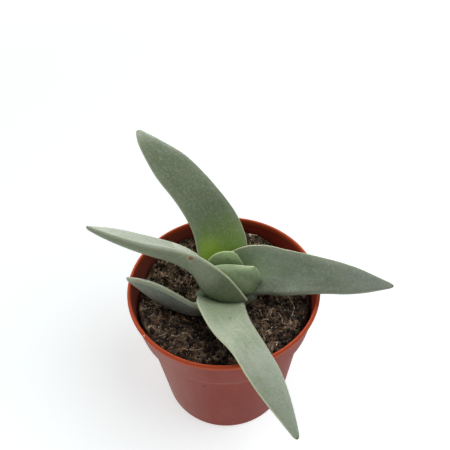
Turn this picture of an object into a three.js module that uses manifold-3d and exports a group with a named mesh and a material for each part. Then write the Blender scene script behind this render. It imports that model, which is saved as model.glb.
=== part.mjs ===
// A young sickle-leaved crassula in its nursery pot, in millimetres, +Z up.
// The origin is the middle of the pot's flat underside. -Y is the front of the
// object, +X its right. Every leaf is lofted between two margin curves; the rows of
// margin points below are its driving dimensions.

import * as THREE from "three";
import { mergeVertices } from "three/addons/utils/BufferGeometryUtils.js";
import Module from "manifold-3d";

const wasm = await Module();
wasm.setup();

// Pot: a round nursery pot 9 cm across the rim
const POT_HEIGHT = 78;
const RIM_RADIUS = 45;
const LIP_HEIGHT = 2.2;
const COLLAR_TOP_RADIUS = 44.2;
const COLLAR_FOOT_RADIUS = 41.6;
const COLLAR_FOOT_Z = 58;
const BODY_TOP_RADIUS = 38.4;
const BODY_TOP_Z = 56;
const BASE_RADIUS = 32;
const WALL = 1.1;
const FLOOR = 1.6;
const POT_SIDES = 56;

// Drainage holes round the solid middle of the floor
const DRAIN_HOLES = 6;
const DRAIN_RADIUS = 3;
const DRAIN_RING_RADIUS = 20;
const DRAIN_SIDES = 12;

// Soil
const SOIL_LEVEL = 69.2;
const SOIL_RADIUS = 40.9;
const SOIL_SIDES = 56;
const SOIL_RINGS = 15;
const SOIL_SEED = 11;

// Stem
const STEM_X = 0;
const STEM_Y = -0.5;
const STEM_FOOT_Z = 52;
const STEM_SHOULDER_Z = 77;
const STEM_TOP_Z = 82;
const STEM_FOOT_RADIUS = 4.2;
const STEM_NECK_RADIUS = 5;
const STEM_NODE_RADIUS = 6;
const STEM_BUD_RADIUS = 3.2;

// Clearance kept between neighbouring pieces
const GAP = 0.3;

// Leaves. STATIONS are the places along a leaf, 0 at the base and 1 at the tip, where
// its rows apply. A row is: left margin x, y, z; right margin x, y, z; depth of the
// gutter between the margins; greatest thickness. Left and right are as seen from
// the base looking to the tip with the inner face up.
const STATIONS = [0, 0.12, 0.3, 0.5, 0.7, 0.87, 1];

const LEAF_BACK = [
  [-8, 4, 77, 8.5, 4, 76, 5.5, 3.5],
  [-10.5, 6.6, 87.3, 12, 12.5, 85.7, 4, 4.5],
  [-13, 13.4, 99.9, 8.1, 25.6, 96.3, 1.9, 5.5],
  [-19.8, 22.7, 109, -4.1, 39.8, 106.9, 0.8, 6],
  [-31, 36.6, 116.7, -17.1, 51.1, 114.9, 0.3, 5.5],
  [-38.3, 51.6, 122.9, -30.1, 58.3, 119.3, 0.3, 4],
  [-40, 60.6, 122.5, -38.3, 62.1, 121.9, 0, 1.4],
];

const LEAF_FRONT = [
  [9, -4, 75.5, -9.1, -3, 75, 4.5, 4],
  [9.2, -12, 79.2, -12.5, -10.9, 82.5, 2.5, 4.5],
  [11.3, -24.3, 82.4, -6.3, -30.2, 86.5, 0.8, 5],
  [16.5, -37.3, 83.6, 2.8, -44.7, 89.8, 0, 5.5],
  [22.6, -51, 82.7, 10.4, -58.7, 87.3, 0, 5.2],
  [26.1, -64.2, 79.1, 18.9, -69.2, 82, 0, 4],
  [27.9, -75.2, 75.2, 26.2, -76.5, 75.5, 0, 1.4],
];

const LEAF_RIGHT = [
  [-8, 9.5, 81, 8, -8, 76, 6, 3.5],
  [5.5, 11.5, 89, 12.4, -7.7, 79, 4, 4.5],
  [18.5, 11.4, 91.8, 17, -9.9, 82.5, 2.1, 6],
  [31.1, 8.4, 90.6, 28, -11.5, 83.1, 2, 6.5],
  [47.6, 4.1, 89.2, 44.4, -11.6, 83.3, 0.7, 6],
  [62.4, -1.4, 87.5, 61.8, -11.8, 82.6, 0.5, 4.2],
  [76.7, -7.4, 83.2, 77.2, -9.2, 82.8, 0, 1.4],
];

const LEAF_LEFT = [
  [10.7, -11.7, 80.9, 8.2, -2.2, 75.8, 3.3, 3.4],
  [4.5, -8.3, 89.9, -1.2, 4, 75, 7.9, 4.5],
  [-7.1, -3.2, 98.4, -8.3, 11.2, 82, 5.3, 5.5],
  [-19, 1.2, 99.9, -19.1, 16.7, 87.1, 3.1, 6.4],
  [-37.1, 4.5, 101.1, -36.8, 18.4, 93.4, 0.9, 5.9],
  [-52.1, 9.7, 103.3, -51.5, 18.5, 98.7, 0.5, 4.2],
  [-61.8, 15.2, 103.5, -61.6, 16.4, 102.6, 0, 1.4],
];

const LEAF_LOW_LEFT = [
  [-1, -9.3, 75, -3, 1.2, 72, 2, 3.5],
  [-5.4, -11.3, 75.8, -8.4, -1.3, 70.4, 2.1, 4.5],
  [-12.2, -12, 77.5, -14.7, -4.1, 69.5, 1.6, 5.5],
  [-19.9, -9.3, 81, -21, -1.5, 72.8, 2.7, 6.5],
  [-31.2, -4.8, 84.9, -31.3, 2.3, 77.3, 2.8, 6.2],
  [-40.1, -1.4, 85, -39.8, 3.4, 79.9, 1, 4.2],
  [-44.9, 1.1, 82.6, -44.9, 2.4, 82.2, 0, 1.3],
];

const LEAF_YOUNG_FRONT = [
  [7, -5.5, 79, -5.5, -3.5, 80, 0.8, 2.5],
  [12.4, -7.3, 79.4, -6.7, -2.9, 84.8, 0.9, 3.6],
  [15.4, -6.7, 81.6, -6.5, -1.6, 90.7, 0.8, 4.6],
  [16.9, -5, 83, -1.7, -0.5, 92.4, 0.6, 4.8],
  [17.4, -3.7, 85.9, 5.1, -0.2, 91.9, 0.4, 4.2],
  [16.4, -2.5, 88.7, 11.2, -0.4, 90.9, 0.1, 2.8],
  [15, -1.2, 90.6, 14.2, -0.9, 91.1, 0, 1.2],
];

const LEAF_YOUNG_BACK = [
  [-5, 1.6, 79.5, 5.5, 1.2, 79.5, 0.5, 2.6],
  [-6.7, 2.4, 81.6, 8.4, 1.3, 80.6, 0.6, 3.2],
  [-7.7, 3.2, 85.2, 10, 1.6, 82.2, 0.6, 3.8],
  [-6.9, 3.9, 89.8, 10.6, 2.2, 84.4, 0.5, 3.8],
  [-3.8, 4.3, 93.8, 9.6, 2.8, 87.5, 0.4, 3.3],
  [1, 4.6, 95.5, 7.9, 3.5, 91.6, 0.2, 2.4],
  [5.6, 4.6, 95.1, 6.4, 4.4, 94.4, 0, 1.2],
];

// Share of the thickness that lies on the inner face; the outer face bulges more
const INNER_SHARE = 0.28;
// Least thickness, which the blunt margin has
const MARGIN_THICKNESS = 0.9;
// Places across a leaf where its faces have corners, -1 and 1 being the margins
const ACROSS = [-1, -0.86, -0.5, 0, 0.5, 0.86, 1];
const LEAF_STEPS = 30;

// Cubic curve through the station values, smooth at every station
function between(values, t) {
  const last = STATIONS.length - 1;
  let i = 0;
  while (i < last - 1 && t > STATIONS[i + 1]) {
    i += 1;
  }
  const slope = (k) => (values[k + 1] - values[k]) / (STATIONS[k + 1] - STATIONS[k]);
  const span = (k) => STATIONS[k + 1] - STATIONS[k];
  const tangent = (k) => {
    if (k === 0) {
      return slope(0);
    }
    if (k === last) {
      return slope(last - 1);
    }
    return (slope(k - 1) * span(k) + slope(k) * span(k - 1)) / (span(k) + span(k - 1));
  };
  const h = span(i);
  const s = (t - STATIONS[i]) / h;
  const a = 2 * s ** 3 - 3 * s ** 2 + 1;
  const b = s ** 3 - 2 * s ** 2 + s;
  const c = -2 * s ** 3 + 3 * s ** 2;
  const d = s ** 3 - s ** 2;
  return a * values[i] + b * h * tangent(i) + c * values[i + 1] + d * h * tangent(i + 1);
}

// Margins, gutter and thickness of a leaf at the place t along it
function station(rows, t) {
  const at = (column) => between(rows.map((row) => row[column]), t);
  return {
    left: new THREE.Vector3(at(0), at(1), at(2)),
    right: new THREE.Vector3(at(3), at(4), at(5)),
    gutter: at(6),
    thickness: at(7),
  };
}

// Corner points of a leaf's cross-section, inner face first, then the outer face back
function section(rows, t, grow) {
  const here = station(rows, t);
  const before = station(rows, Math.max(0, t - 0.01));
  const after = station(rows, Math.min(1, t + 0.01));
  const middle = here.left.clone().add(here.right).multiplyScalar(0.5);
  const from = before.left.clone().add(before.right).multiplyScalar(0.5);
  const to = after.left.clone().add(after.right).multiplyScalar(0.5);
  const along = to.sub(from).normalize();
  const chord = here.right.clone().sub(here.left);
  const half = chord.length() / 2 + grow;
  const across = chord.normalize();
  const inward = across.clone().cross(along).normalize();
  const inner = [];
  const outer = [];
  ACROSS.forEach((u) => {
    const sag = here.gutter * (1 - u * u);
    const spot = middle.clone().addScaledVector(across, u * half).addScaledVector(inward, -sag);
    const lean = (2 * here.gutter * u) / half;
    const normal = inward.clone().addScaledVector(across, -lean).normalize();
    const lens = (1 - Math.abs(u) ** 2.4) ** 0.75;
    const body = Math.max(0, here.thickness - MARGIN_THICKNESS) * lens;
    const up = MARGIN_THICKNESS / 2 + body * INNER_SHARE + grow;
    const down = MARGIN_THICKNESS / 2 + body * (1 - INNER_SHARE) + grow;
    inner.push(spot.clone().addScaledVector(normal, up));
    outer.push(spot.clone().addScaledVector(normal, -down));
  });
  return { ring: inner.concat(outer.reverse()), along };
}

// Closed mesh of one leaf. The steps are shorter near the tip.
function leafGeometry(rows, grow = 0) {
  const points = [];
  const faces = [];
  const columns = ACROSS.length;
  const size = 2 * columns;
  for (let i = 0; i <= LEAF_STEPS; i += 1) {
    const s = i / LEAF_STEPS;
    const t = 1 - (1 - s) ** 1.25;
    const { ring, along } = section(rows, t, grow);
    const push = i === 0 ? -grow : i === LEAF_STEPS ? grow : 0;
    ring.forEach((p) => points.push(p.addScaledVector(along, push)));
  }
  for (let i = 0; i < LEAF_STEPS; i += 1) {
    for (let j = 0; j < size; j += 1) {
      const k = (j + 1) % size;
      const a = i * size + j;
      const b = i * size + k;
      const c = (i + 1) * size + j;
      const d = (i + 1) * size + k;
      faces.push(a, b, d, a, d, c);
    }
  }
  for (let j = 0; j < columns - 1; j += 1) {
    const opposite = size - 1 - j;
    faces.push(j, opposite, j + 1, j + 1, opposite, opposite - 1);
    const e = LEAF_STEPS * size;
    faces.push(e + j, e + j + 1, e + opposite, e + j + 1, e + opposite - 1, e + opposite);
  }
  return meshGeometry(points, faces);
}

function meshGeometry(points, faces) {
  const geometry = new THREE.BufferGeometry();
  const flat = points.flatMap((p) => [p.x, p.y, p.z]);
  geometry.setAttribute("position", new THREE.Float32BufferAttribute(flat, 3));
  geometry.setIndex(faces);
  return geometry;
}

function toSolid(geometry) {
  const bare = geometry.clone();
  bare.deleteAttribute("normal");
  bare.deleteAttribute("uv");
  const merged = mergeVertices(bare, 1e-4);
  const mesh = new wasm.Mesh({
    numProp: 3,
    vertProperties: new Float32Array(merged.attributes.position.array),
    triVerts: new Uint32Array(merged.index.array),
  });
  return new wasm.Manifold(mesh);
}

function toGeometry(solid) {
  const mesh = solid.getMesh();
  const geometry = new THREE.BufferGeometry();
  geometry.setAttribute("position", new THREE.BufferAttribute(mesh.vertProperties, 3));
  geometry.setIndex(new THREE.BufferAttribute(mesh.triVerts, 1));
  geometry.computeVertexNormals();
  return geometry;
}

// Round body about a vertical axis from (radius, height) pairs
function turned(profile, sides) {
  const outline = profile.map(([radius, height]) => new THREE.Vector2(radius, height));
  const geometry = new THREE.LatheGeometry(outline, sides);
  geometry.rotateX(Math.PI / 2);
  return geometry;
}

// Pot wall from the middle of the underside, up the outside, over the lip, down inside
const lipFoot = POT_HEIGHT - LIP_HEIGHT;
const potProfile = [
  [0, 0],
  [BASE_RADIUS - 2, 0],
  [BASE_RADIUS - 0.6, 0.5],
  [BASE_RADIUS, 1.8],
  [BODY_TOP_RADIUS, BODY_TOP_Z - 0.8],
  [BODY_TOP_RADIUS + 0.5, BODY_TOP_Z + 0.3],
  [COLLAR_FOOT_RADIUS - 0.7, COLLAR_FOOT_Z - 1],
  [COLLAR_FOOT_RADIUS, COLLAR_FOOT_Z],
  [COLLAR_TOP_RADIUS, lipFoot - 0.3],
  [RIM_RADIUS, lipFoot + 0.3],
  [RIM_RADIUS, POT_HEIGHT - 0.8],
  [RIM_RADIUS - 0.45, POT_HEIGHT - 0.15],
  [RIM_RADIUS - 1, POT_HEIGHT],
  [RIM_RADIUS - 1.5, POT_HEIGHT - 0.2],
  [RIM_RADIUS - 1.8, POT_HEIGHT - 0.9],
  [COLLAR_TOP_RADIUS - WALL, lipFoot - 0.6],
  [COLLAR_FOOT_RADIUS - WALL, COLLAR_FOOT_Z + 0.8],
  [COLLAR_FOOT_RADIUS - WALL - 0.8, COLLAR_FOOT_Z],
  [BODY_TOP_RADIUS - WALL + 0.3, BODY_TOP_Z + 0.9],
  [BODY_TOP_RADIUS - WALL, BODY_TOP_Z - 0.2],
  [BASE_RADIUS - WALL, FLOOR + 1],
  [BASE_RADIUS - WALL - 1, FLOOR],
  [0, FLOOR],
];

function potSolid() {
  let solid = toSolid(turned(potProfile, POT_SIDES));
  for (let i = 0; i < DRAIN_HOLES; i += 1) {
    const angle = ((i + 0.5) / DRAIN_HOLES) * 2 * Math.PI;
    const hole = new THREE.CylinderGeometry(DRAIN_RADIUS, DRAIN_RADIUS, 8, DRAIN_SIDES);
    hole.rotateX(Math.PI / 2);
    hole.translate(DRAIN_RING_RADIUS * Math.cos(angle), DRAIN_RING_RADIUS * Math.sin(angle), 0);
    solid = solid.subtract(toSolid(hole));
  }
  return solid;
}

function stemGeometry(grow = 0) {
  const profile = [
    [0, STEM_FOOT_Z - grow],
    [STEM_FOOT_RADIUS + grow, STEM_FOOT_Z - grow],
    [STEM_NECK_RADIUS + grow, 66],
    [STEM_NODE_RADIUS + grow, 71],
    [STEM_NODE_RADIUS + grow, 75],
    [STEM_NECK_RADIUS + grow, STEM_SHOULDER_Z],
    [STEM_BUD_RADIUS + grow, STEM_TOP_Z - 1.5],
    [STEM_BUD_RADIUS / 2 + grow, STEM_TOP_Z + grow],
    [0, STEM_TOP_Z + grow],
  ];
  const geometry = turned(profile, 20);
  geometry.translate(STEM_X, STEM_Y, 0);
  return geometry;
}

// Repeatable pseudo-random numbers between 0 and 1
function generator(seed) {
  let state = seed >>> 0;
  return () => {
    state = (Math.imul(state, 1664525) + 1013904223) >>> 0;
    return state / 4294967296;
  };
}

// Side of the soil, a little inside the pot's own wall, from the collar to the floor
const soilSide = [
  [COLLAR_FOOT_RADIUS - WALL - 0.5, COLLAR_FOOT_Z + 1.3],
  [COLLAR_FOOT_RADIUS - WALL - 1.2, COLLAR_FOOT_Z + 0.5],
  [BODY_TOP_RADIUS - WALL - 0.1, BODY_TOP_Z + 1.4],
  [BODY_TOP_RADIUS - WALL - 0.45, BODY_TOP_Z - 0.2],
  [BASE_RADIUS - WALL - 0.4, FLOOR + 1.3],
  [BASE_RADIUS - WALL - 1.3, FLOOR + GAP],
];

// Height of the soil: a few broad swells, small lumps, and a dip toward the wall
const soilRandom = generator(SOIL_SEED);
const swells = [];
for (let i = 0; i < 14; i += 1) {
  const length = i < 4 ? 34 : 9;
  const angle = soilRandom() * Math.PI;
  swells.push({
    kx: (Math.cos(angle) * 2 * Math.PI) / length,
    ky: (Math.sin(angle) * 2 * Math.PI) / length,
    phase: soilRandom() * 2 * Math.PI,
    size: i < 4 ? 0.45 : 0.22,
  });
}

function soilHeight(x, y) {
  const radius = Math.hypot(x, y);
  let height = SOIL_LEVEL;
  swells.forEach((w) => {
    height += w.size * Math.sin(w.kx * x + w.ky * y + w.phase);
  });
  const backRise = 3.6 * Math.exp(-((y - 43) ** 2) / 110 - (x + 3) ** 2 / 650);
  const heartDip = 1.2 * Math.exp(-(x ** 2 + y ** 2) / 160);
  const away = Math.min(1, Math.max(0, (28 - y) / 20));
  const wallDip = 1.6 * away * Math.max(0, (radius - 38.4) / 2.4) ** 2;
  return height + backRise - heartDip - wallDip;
}

function soilGeometry() {
  const points = [];
  const faces = [];
  const ring = (radius, height) => {
    for (let j = 0; j < SOIL_SIDES; j += 1) {
      const angle = (j / SOIL_SIDES) * 2 * Math.PI;
      const x = radius * Math.cos(angle);
      const y = radius * Math.sin(angle);
      points.push(new THREE.Vector3(x, y, height === null ? soilHeight(x, y) : height));
    }
  };
  for (let i = 1; i <= SOIL_RINGS; i += 1) {
    ring((SOIL_RADIUS * i) / SOIL_RINGS, null);
  }
  soilSide.forEach(([radius, height]) => ring(radius, height));
  const rings = points.length / SOIL_SIDES;
  for (let i = 0; i < rings - 1; i += 1) {
    for (let j = 0; j < SOIL_SIDES; j += 1) {
      const k = (j + 1) % SOIL_SIDES;
      const a = i * SOIL_SIDES + j;
      const b = i * SOIL_SIDES + k;
      const c = a + SOIL_SIDES;
      const d = b + SOIL_SIDES;
      faces.push(a, c, d, a, d, b);
    }
  }
  const centre = points.length;
  points.push(new THREE.Vector3(0, 0, soilHeight(0, 0)));
  const foot = points.length;
  points.push(new THREE.Vector3(0, 0, FLOOR + GAP));
  for (let j = 0; j < SOIL_SIDES; j += 1) {
    const k = (j + 1) % SOIL_SIDES;
    const last = (rings - 1) * SOIL_SIDES;
    faces.push(centre, j, k);
    faces.push(foot, last + k, last + j);
  }
  return meshGeometry(points, faces);
}

// Solids, from the heart of the plant outward. Each outer piece gives way to the inner.
const grown = (rows) => toSolid(leafGeometry(rows, GAP));
const stem = toSolid(stemGeometry());
const stemRoom = toSolid(stemGeometry(GAP));

const youngFront = toSolid(leafGeometry(LEAF_YOUNG_FRONT)).subtract(stemRoom);
const youngFrontRoom = grown(LEAF_YOUNG_FRONT).add(youngFront);
const youngBack = toSolid(leafGeometry(LEAF_YOUNG_BACK)).subtract(stemRoom).subtract(youngFrontRoom);
const heart = stemRoom.add(youngFrontRoom).add(grown(LEAF_YOUNG_BACK)).add(youngBack);

const left = toSolid(leafGeometry(LEAF_LEFT)).subtract(heart);
const leftRoom = grown(LEAF_LEFT).add(left);
const right = toSolid(leafGeometry(LEAF_RIGHT)).subtract(heart).subtract(leftRoom);
const middleRoom = heart.add(leftRoom).add(grown(LEAF_RIGHT)).add(right);

const front = toSolid(leafGeometry(LEAF_FRONT)).subtract(middleRoom);
const frontRoom = grown(LEAF_FRONT).add(front);
const back = toSolid(leafGeometry(LEAF_BACK)).subtract(middleRoom).subtract(frontRoom);
const plantRoom = middleRoom.add(frontRoom).add(grown(LEAF_BACK)).add(back);

const lowLeft = toSolid(leafGeometry(LEAF_LOW_LEFT)).subtract(plantRoom);
const soil = toSolid(soilGeometry()).subtract(stemRoom).subtract(grown(LEAF_LOW_LEFT));

function piece(name, solid, color, roughness) {
  const material = new THREE.MeshStandardMaterial({ color, roughness, metalness: 0 });
  const mesh = new THREE.Mesh(toGeometry(solid), material);
  mesh.name = name;
  return mesh;
}

const plant = new THREE.Group();
plant.add(
  piece("pot", potSolid(), 0x8a4a3c, 0.45),
  piece("soil", soil, 0x2e2019, 0.95),
  piece("stem", stem, 0x7c8a64, 0.8),
  piece("leaf_back", back, 0x67794f, 0.75),
  piece("leaf_front", front, 0x97a48a, 0.75),
  piece("leaf_right", right, 0x73836f, 0.75),
  piece("leaf_left", left, 0x8f9c85, 0.75),
  piece("leaf_low_left", lowLeft, 0x66716a, 0.75),
  piece("leaf_young_front", youngFront, 0x6f8360, 0.75),
  piece("leaf_young_back", youngBack, 0x6f8360, 0.75),
);

export default plant;
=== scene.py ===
"""A young sickle-leaved crassula in its terracotta-coloured plastic pot, with its finish.

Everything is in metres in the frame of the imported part: the origin is the middle of
the pot's flat underside, -Y is the front, +X the right and +Z up. Lengths in the
tables below are in millimetres and go through MM.
"""

import itertools
import math

import bmesh
import bpy
import numpy as np
from mathutils import Matrix, Quaternion, Vector
from mathutils.kdtree import KDTree


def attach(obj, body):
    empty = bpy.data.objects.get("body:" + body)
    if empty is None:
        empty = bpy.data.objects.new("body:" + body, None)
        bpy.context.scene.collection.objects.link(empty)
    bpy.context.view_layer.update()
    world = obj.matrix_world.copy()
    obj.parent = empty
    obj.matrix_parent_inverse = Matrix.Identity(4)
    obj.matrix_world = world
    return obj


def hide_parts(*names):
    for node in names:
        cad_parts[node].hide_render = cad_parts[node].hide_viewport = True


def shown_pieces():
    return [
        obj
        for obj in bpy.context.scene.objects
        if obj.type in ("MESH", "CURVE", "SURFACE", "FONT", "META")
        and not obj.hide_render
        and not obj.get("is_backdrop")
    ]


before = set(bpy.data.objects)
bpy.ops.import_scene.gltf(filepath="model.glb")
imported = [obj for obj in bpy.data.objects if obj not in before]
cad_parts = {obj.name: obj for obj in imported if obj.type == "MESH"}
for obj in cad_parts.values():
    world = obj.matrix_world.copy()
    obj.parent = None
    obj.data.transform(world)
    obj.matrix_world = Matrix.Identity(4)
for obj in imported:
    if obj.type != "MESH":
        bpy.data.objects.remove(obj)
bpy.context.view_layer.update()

MM = 0.001
FULL_TURN = 2 * math.pi


# Noise and other small sums

LATTICE_SIZE = 48
LATTICE_SHIFT = 17.3
LATTICES = {}


def lattice(seed):
    """Random values on a cube lattice that repeats."""
    if seed not in LATTICES:
        LATTICES[seed] = np.random.default_rng(seed).random((LATTICE_SIZE,) * 3)
    return LATTICES[seed]


def smooth_noise(points, wavelength, seed):
    """Value noise from -1 to 1 at points, whose unit is that of wavelength."""
    table = lattice(seed)
    p = np.asarray(points, float) / wavelength + LATTICE_SHIFT
    cell = np.floor(p).astype(int)
    f = p - cell
    f = f * f * f * (f * (f * 6 - 15) + 10)
    total = np.zeros(len(p))
    for corner in itertools.product((0, 1), repeat=3):
        wx, wy, wz = (f[:, axis] if far else 1 - f[:, axis] for axis, far in enumerate(corner))
        i, j, k = ((cell[:, axis] + far) % LATTICE_SIZE for axis, far in enumerate(corner))
        total += wx * wy * wz * table[i, j, k]
    return total * 2 - 1


def clamp01(x):
    return np.clip(x, 0, 1)


def smoothstep(low, high, x):
    s = clamp01((x - low) / (high - low))
    return s * s * (3 - 2 * s)


def unit(v):
    length = np.linalg.norm(v, axis=-1, keepdims=True)
    return v / np.maximum(length, 1e-12)


# Objects and meshes

def add_object(name, data):
    obj = bpy.data.objects.new(name, data)
    bpy.context.scene.collection.objects.link(obj)
    return obj


def make_mesh(name, points, faces, values=None, smooth=True):
    """A mesh object from points in millimetres, with one float value a point per name in values."""
    mesh = bpy.data.meshes.new(name)
    mesh.from_pydata((np.asarray(points) * MM).tolist(), [], [tuple(f) for f in faces])
    mesh.update()
    if smooth:
        mesh.polygons.foreach_set("use_smooth", np.ones(len(mesh.polygons), bool))
    for key, data in (values or {}).items():
        attribute = mesh.attributes.new(key, "FLOAT", "POINT")
        attribute.data.foreach_set("value", np.asarray(data, np.float32))
    return add_object(name, mesh)


def ring(radius, height, sides, centre=(0, 0)):
    """Points on a level circle."""
    angle = np.linspace(0, FULL_TURN, sides, endpoint=False)
    x = centre[0] + radius * np.cos(angle)
    y = centre[1] + radius * np.sin(angle)
    return np.stack([x, y, np.full(sides, float(height))], axis=1)


def tube_faces(rings, sides, first=0):
    """Faces of a tube of rings with that many points each, closed at both ends."""
    faces = []
    for i in range(rings - 1):
        for j in range(sides):
            a = first + i * sides + j
            b = first + i * sides + (j + 1) % sides
            faces.append((a, b, b + sides, a + sides))
    faces.append(tuple(first + j for j in reversed(range(sides))))
    last = first + (rings - 1) * sides
    faces.append(tuple(last + j for j in range(sides)))
    return faces


def stretch_rows(profile, longest):
    """Adds points so that no step of the profile is longer than that."""
    result = [np.array(profile[0], float)]
    for a, b in zip(profile[:-1], profile[1:]):
        count = max(1, math.ceil(math.dist(a, b) / longest))
        result += list(np.linspace(a, b, count + 1)[1:])
    return result


ICO_FACES = [
    (0, 11, 5), (0, 5, 1), (0, 1, 7), (0, 7, 10), (0, 10, 11),
    (1, 5, 9), (5, 11, 4), (11, 10, 2), (10, 7, 6), (7, 1, 8),
    (3, 9, 4), (3, 4, 2), (3, 2, 6), (3, 6, 8), (3, 8, 9),
    (4, 9, 5), (2, 4, 11), (6, 2, 10), (8, 6, 7), (9, 8, 1),
]


def icosphere(splits):
    """Points and triangles of a round 20-sided ball, split that many times."""
    g = (1 + math.sqrt(5)) / 2
    points = [
        (-1, g, 0), (1, g, 0), (-1, -g, 0), (1, -g, 0),
        (0, -1, g), (0, 1, g), (0, -1, -g), (0, 1, -g),
        (g, 0, -1), (g, 0, 1), (-g, 0, -1), (-g, 0, 1),
    ]
    points = [np.array(p) / np.linalg.norm(p) for p in points]
    faces = ICO_FACES
    for _ in range(splits):
        middles, finer = {}, []

        def middle(a, b):
            key = (min(a, b), max(a, b))
            if key not in middles:
                p = points[a] + points[b]
                points.append(p / np.linalg.norm(p))
                middles[key] = len(points) - 1
            return middles[key]

        for a, b, c in faces:
            ab, bc, ca = middle(a, b), middle(b, c), middle(c, a)
            finer += [(a, ab, ca), (b, bc, ab), (c, ca, bc), (ab, bc, ca)]
        faces = finer
    return np.array(points), np.array(faces)


# Leaves. A row is: left margin x, y, z; right margin x, y, z; depth of the gutter
# between the margins; greatest thickness, at the places in STATIONS along the leaf.

STATIONS = np.array([0, 0.12, 0.3, 0.5, 0.7, 0.87, 1])

LEAF_ROWS = {
    "leaf_back": [
        [-8, 4, 77, 8.5, 4, 76, 5.5, 3.5],
        [-10.5, 6.6, 87.3, 12, 12.5, 85.7, 4, 4.5],
        [-13, 13.4, 99.9, 8.1, 25.6, 96.3, 1.9, 5.5],
        [-19.8, 22.7, 109, -4.1, 39.8, 106.9, 0.8, 6],
        [-31, 36.6, 116.7, -17.1, 51.1, 114.9, 0.3, 5.5],
        [-38.3, 51.6, 122.9, -30.1, 58.3, 119.3, 0.3, 4],
        [-40, 60.6, 122.5, -38.3, 62.1, 121.9, 0, 1.4],
    ],
    "leaf_front": [
        [9, -4, 75.5, -9.1, -3, 75, 4.5, 4],
        [9.2, -12, 79.2, -12.5, -10.9, 82.5, 2.5, 4.5],
        [11.3, -24.3, 82.4, -6.3, -30.2, 86.5, 0.8, 5],
        [16.5, -37.3, 83.6, 2.8, -44.7, 89.8, 0, 5.5],
        [22.6, -51, 82.7, 10.4, -58.7, 87.3, 0, 5.2],
        [26.1, -64.2, 79.1, 18.9, -69.2, 82, 0, 4],
        [27.9, -75.2, 75.2, 26.2, -76.5, 75.5, 0, 1.4],
    ],
    "leaf_right": [
        [-8, 9.5, 81, 8, -8, 76, 6, 3.5],
        [5.5, 11.5, 89, 12.4, -7.7, 79, 4, 4.5],
        [18.5, 11.4, 91.8, 17, -9.9, 82.5, 2.1, 6],
        [31.1, 8.4, 90.6, 28, -11.5, 83.1, 2, 6.5],
        [47.6, 4.1, 89.2, 44.4, -11.6, 83.3, 0.7, 6],
        [62.4, -1.4, 87.5, 61.8, -11.8, 82.6, 0.5, 4.2],
        [76.7, -7.4, 83.2, 77.2, -9.2, 82.8, 0, 1.4],
    ],
    "leaf_left": [
        [10.7, -11.7, 80.9, 8.2, -2.2, 75.8, 3.3, 3.4],
        [4.5, -8.3, 89.9, -1.2, 4, 75, 7.9, 4.5],
        [-7.1, -3.2, 98.4, -8.3, 11.2, 82, 5.3, 5.5],
        [-19, 1.2, 99.9, -19.1, 16.7, 87.1, 3.1, 6.4],
        [-37.1, 4.5, 101.1, -36.8, 18.4, 93.4, 0.9, 5.9],
        [-52.1, 9.7, 103.3, -51.5, 18.5, 98.7, 0.5, 4.2],
        [-61.8, 15.2, 103.5, -61.6, 16.4, 102.6, 0, 1.4],
    ],
    "leaf_low_left": [
        [-1, -9.3, 75, -3, 1.2, 72, 2, 3.5],
        [-5.4, -11.3, 75.8, -8.4, -1.3, 70.4, 2.1, 4.5],
        [-12.2, -12, 77.5, -14.7, -4.1, 69.5, 1.6, 5.5],
        [-19.9, -9.3, 81, -21, -1.5, 72.8, 2.7, 6.5],
        [-31.2, -4.8, 84.9, -31.3, 2.3, 77.3, 2.8, 6.2],
        [-40.1, -1.4, 85, -39.8, 3.4, 79.9, 1, 4.2],
        [-44.9, 1.1, 82.6, -44.9, 2.4, 82.2, 0, 1.3],
    ],
    "leaf_young_front": [
        [7, -5.5, 79, -5.5, -3.5, 80, 0.8, 2.5],
        [12.4, -7.3, 79.4, -6.7, -2.9, 84.8, 0.9, 3.6],
        [15.4, -6.7, 81.6, -6.5, -1.6, 90.7, 0.8, 4.6],
        [16.9, -5, 83, -1.7, -0.5, 92.4, 0.6, 4.8],
        [17.4, -3.7, 85.9, 5.1, -0.2, 91.9, 0.4, 4.2],
        [16.4, -2.5, 88.7, 11.2, -0.4, 90.9, 0.1, 2.8],
        [15, -1.2, 90.6, 14.2, -0.9, 91.1, 0, 1.2],
    ],
    "leaf_young_back": [
        [-5, 1.6, 79.5, 5.5, 1.2, 79.5, 0.5, 2.6],
        [-6.7, 2.4, 81.6, 8.4, 1.3, 80.6, 0.6, 3.2],
        [-7.7, 3.2, 85.2, 10, 1.6, 82.2, 0.6, 3.8],
        [-6.9, 3.9, 89.8, 10.6, 2.2, 84.4, 0.5, 3.8],
        [-3.8, 4.3, 93.8, 9.6, 2.8, 87.5, 0.4, 3.3],
        [1, 4.6, 95.5, 7.9, 3.5, 91.6, 0.2, 2.4],
        [5.6, 4.6, 95.1, 6.4, 4.4, 94.4, 0, 1.2],
    ],
}

# How blunt each margin is: the radius of its rounding at the base, in the middle and
# near the tip, as MARGIN_PLACES has them. Left and right are as in the rows.
SHARP = (0.45, 0.45, 0.4)
BLUNT = {
    "leaf_left": ((0.45, 1.35, 0.7), SHARP),
    "leaf_low_left": ((0.6, 1.1, 0.6), SHARP),
    "leaf_right": (SHARP, (0.7, 0.9, 0.5)),
}
# How much of the pale line each margin shows at the same places
PALE = {
    "leaf_left": ((1.0, 0.12, 0.1), (0.4, 0.4, 0.3)),
    "leaf_low_left": ((0.5, 0.7, 0.6), (0.3, 0.3, 0.3)),
    "leaf_right": ((1.0, 0.8, 0.3), (0.0, 0.0, 0.15)),
    "leaf_front": ((0.5, 0.5, 0.5), (1.0, 1.0, 0.5)),
    "leaf_back": ((0.9, 0.6, 0.4), (1.0, 0.8, 0.4)),
    "leaf_young_front": ((0.8, 0.8, 0.9), (0.8, 0.9, 0.9)),
    "leaf_young_back": ((1.0, 1.0, 1.0), (1.0, 1.0, 1.0)),
}
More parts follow.
